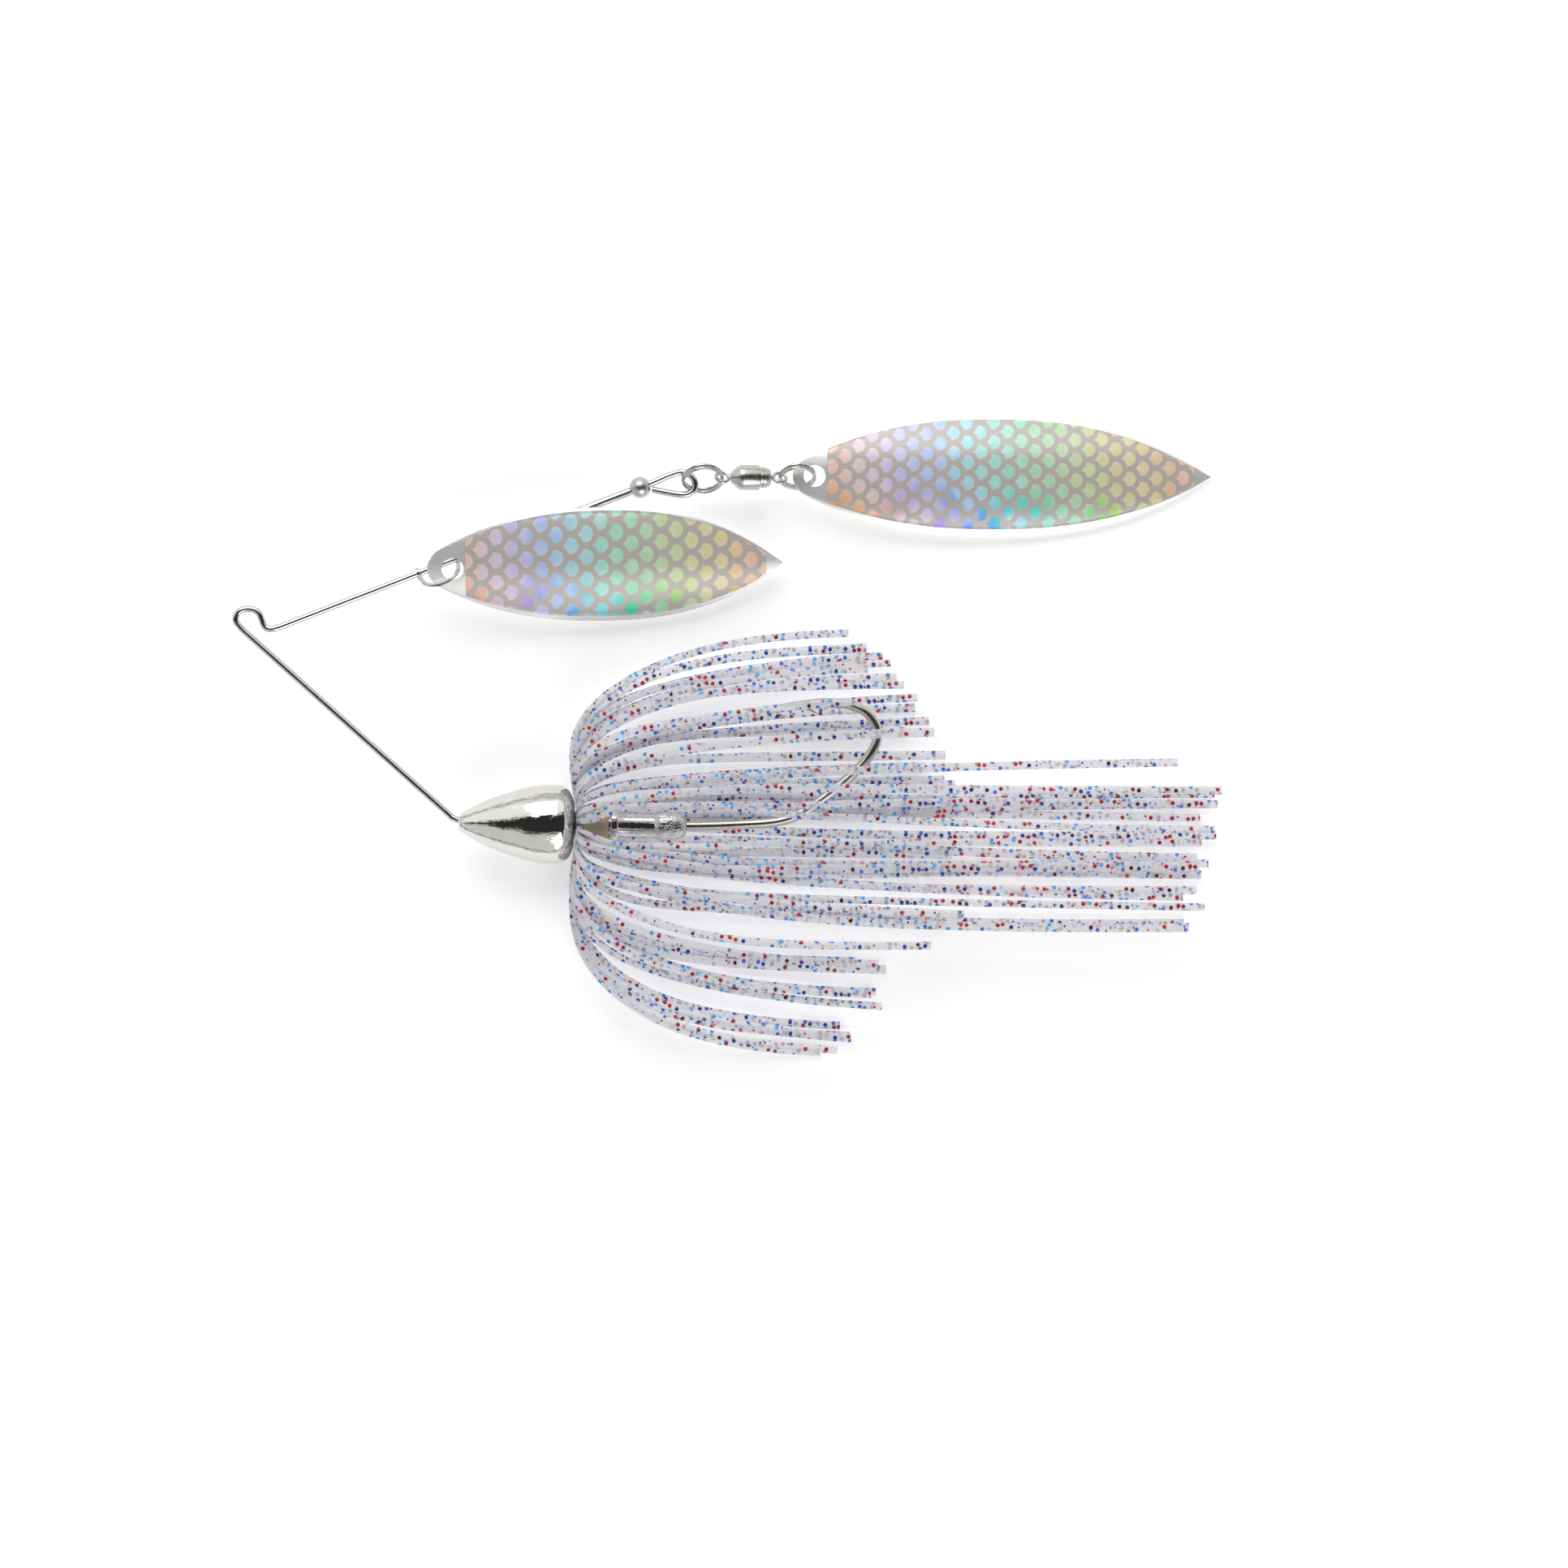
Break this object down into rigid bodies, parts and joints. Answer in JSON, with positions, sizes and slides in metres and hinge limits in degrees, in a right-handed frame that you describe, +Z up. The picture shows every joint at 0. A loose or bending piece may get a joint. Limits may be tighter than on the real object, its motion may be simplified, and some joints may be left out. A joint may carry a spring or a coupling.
{
  "type": "spinnerbait",
  "caption": "Tandem willow-blade spinnerbait: bent wire arm, bullet head with hook and silicone skirt, clevis blade and swivel-hung blade.",
  "frame": {"origin": "centre of the bounding box in plan, on the surface the lure lies on", "axes": "+X from the line tie towards the blade tips, +Y from the hook towards the blades, +Z up off the surface"},
  "size_m": [0.1484, 0.0965, 0.012],
  "materials": {
    "wire_nickel": "polished nickel-plated spring wire",
    "head_plating": "mirror-bright plating over a lead casting",
    "hook_nickel": "bright nickel, slightly warm",
    "sleeve_steel": "satin tube",
    "bead_steel": "satin nickel",
    "clevis_steel": "bright nickel",
    "ring_steel": "bright stainless",
    "swivel_steel": "fine turned satin nickel",
    "ball_steel": "polished bearing steel",
    "blade_metal": "nickel-plated brass sheet, bright",
    "tape_foil": "holographic foil printed with a scale pattern",
    "skirt_silicone": "translucent silicone with round flakes",
    "band_rubber": "translucent collar band"
  },
  "bodies": {
    "frame": {"wire_form": "wire_nickel", "head_casting": "head_plating", "hook": "hook_nickel", "skirt_band": "band_rubber", "strand_over_01_short": "skirt_silicone", "strand_over_02_short": "skirt_silicone", "strand_over_03_short": "skirt_silicone", "strand_over_04_short": "skirt_silicone", "strand_over_05_long": "skirt_silicone", "strand_over_06_long": "skirt_silicone", "strand_over_07_long": "skirt_silicone", "strand_over_08_long": "skirt_silicone", "strand_over_09_long": "skirt_silicone", "strand_over_10_long": "skirt_silicone", "strand_over_11_long": "skirt_silicone", "strand_over_12_short": "skirt_silicone", "strand_over_13_short": "skirt_silicone", "strand_over_14_short": "skirt_silicone", "strand_under_01_short": "skirt_silicone", "strand_under_02_short": "skirt_silicone", "strand_under_03_short": "skirt_silicone", "strand_under_04_short": "skirt_silicone", "strand_under_05_long": "skirt_silicone", "strand_under_06_long": "skirt_silicone", "strand_under_07_long": "skirt_silicone", "strand_under_08_long": "skirt_silicone", "strand_under_09_long": "skirt_silicone", "strand_under_10_long": "skirt_silicone", "strand_under_11_short": "skirt_silicone", "strand_under_12_short": "skirt_silicone", "strand_under_13_short": "skirt_silicone", "strand_under_14_short": "skirt_silicone"},
    "arm_stack": {"arm_sleeve": "sleeve_steel", "arm_bead": "bead_steel"},
    "clevis": {"clevis": "clevis_steel"},
    "small_blade": {"small_blade": "blade_metal", "small_blade_tape": "tape_foil"},
    "front_ring": {"front_split_ring": "ring_steel"},
    "swivel_body": {"swivel_front_eye": "swivel_steel", "swivel_shell": "swivel_steel", "swivel_cap": "swivel_steel"},
    "swivel_balls": {"swivel_ball_1": "ball_steel", "swivel_ball_2": "ball_steel", "swivel_ball_3": "ball_steel", "swivel_ball_4": "ball_steel", "swivel_ball_5": "ball_steel", "swivel_ball_6": "ball_steel"},
    "swivel_rear": {"swivel_rear_eye": "swivel_steel"},
    "rear_ring": {"rear_split_ring": "ring_steel"},
    "large_blade": {"large_blade": "blade_metal", "large_blade_tape": "tape_foil"}
  },
  "joints": [
    {"name": "arm_stack_slide", "type": "slide", "parent": "frame", "child": "arm_stack", "axis": [0.9326, 0.361, 0], "range_m": [-0.018, 0]},
    {"name": "clevis_spin", "type": "hinge", "parent": "arm_stack", "child": "clevis", "pos_m": [-0.0435, 0.02546, 0.006], "axis": [0.9326, 0.361, 0], "continuous": true},
    {"name": "small_blade_flare", "type": "hinge", "parent": "clevis", "child": "small_blade", "pos_m": [-0.04275, 0.0249, 0.009], "axis": [-0.0006, -0.9662, -0.2578], "range_deg": [0, 35]},
    {"name": "front_ring_swing", "type": "hinge", "parent": "frame", "child": "front_ring", "pos_m": [-0.0049, 0.0376, 0.006], "axis": [0, 1, 0], "range_deg": [-18, 50]},
    {"name": "swivel_swing", "type": "hinge", "parent": "front_ring", "child": "swivel_body", "pos_m": [-0.00073, 0.03876, 0.0066], "axis": [0.0511, -0.5842, -0.81], "range_deg": [-50, 50]},
    {"name": "swivel_spin", "type": "hinge", "parent": "swivel_body", "child": "swivel_rear", "pos_m": [0.00511, 0.0388, 0.00525], "axis": [0.9742, 0.0059, -0.2256], "continuous": true},
    {"name": "swivel_balls_roll", "type": "hinge", "parent": "swivel_body", "child": "swivel_balls", "pos_m": [0.00358, 0.03879, 0.0056], "axis": [0.9742, 0.0059, -0.2256], "continuous": true},
    {"name": "rear_ring_swing", "type": "hinge", "parent": "swivel_rear", "child": "rear_ring", "pos_m": [0.0079, 0.03881, 0.0046], "axis": [-0.0307, 0.5856, 0.81], "range_deg": [-50, 50]},
    {"name": "large_blade_swing", "type": "hinge", "parent": "rear_ring", "child": "large_blade", "pos_m": [0.01316, 0.03909, 0.0046], "axis": [0.0307, -0.5856, -0.81], "range_deg": [-60, 45]}
  ],
  "couplings": [
    {"joint": "swivel_balls_roll", "follows": "swivel_spin", "ratio": 0.35}
  ]
}
